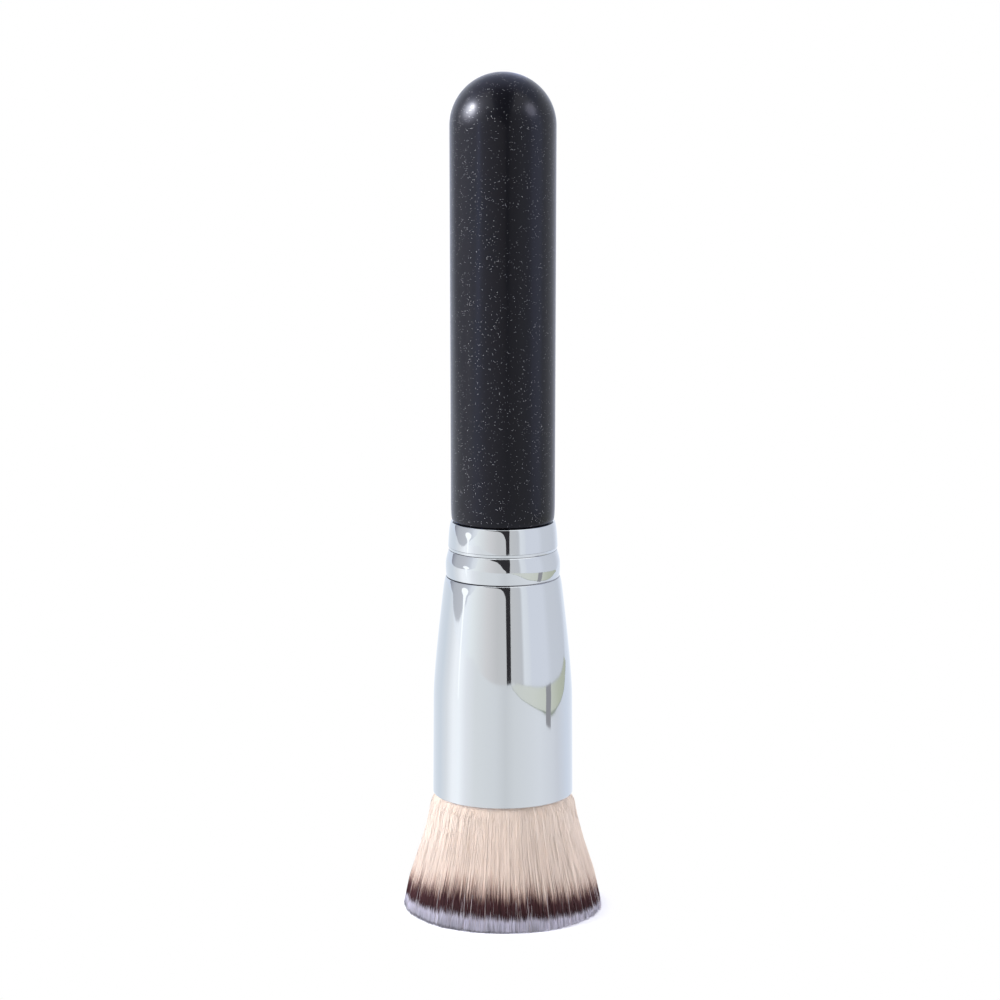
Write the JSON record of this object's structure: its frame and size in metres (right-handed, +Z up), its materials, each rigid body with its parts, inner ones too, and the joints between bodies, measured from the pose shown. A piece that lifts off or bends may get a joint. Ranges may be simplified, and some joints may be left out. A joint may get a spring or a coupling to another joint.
{
  "type": "makeup brush",
  "caption": "Short makeup brush with a black lacquered handle, a flared chrome ferrule and a dense flat-cut head of three-tone filaments. It stands on its bristles.",
  "frame": {"origin": "centre of the flat bristle face, on the surface that the brush stands on", "axes": "+Z runs up the brush's axis from the bristles to the top of the handle; the brush is round, so +X and +Y are any two directions across it"},
  "size_m": [0.0358, 0.0358, 0.1508],
  "materials": {
    "lacquered_handle": "black satin lacquer with fine silver-grey glitter",
    "chrome_ferrule": "mirror-polished plating on spun brass",
    "filaments": "matt synthetic filament, cream with a brown band and white tips",
    "root_resin": "poured and cured resin",
    "binding_thread": "waxed thread",
    "cured_adhesive": "cured adhesive"
  },
  "bodies": {
    "root": {"handle": "lacquered_handle", "ferrule": "chrome_ferrule", "bristles": "filaments", "resin_plug": "root_resin", "binding_thread": "binding_thread", "handle_glue": "cured_adhesive"}
  },
  "joints": []
}
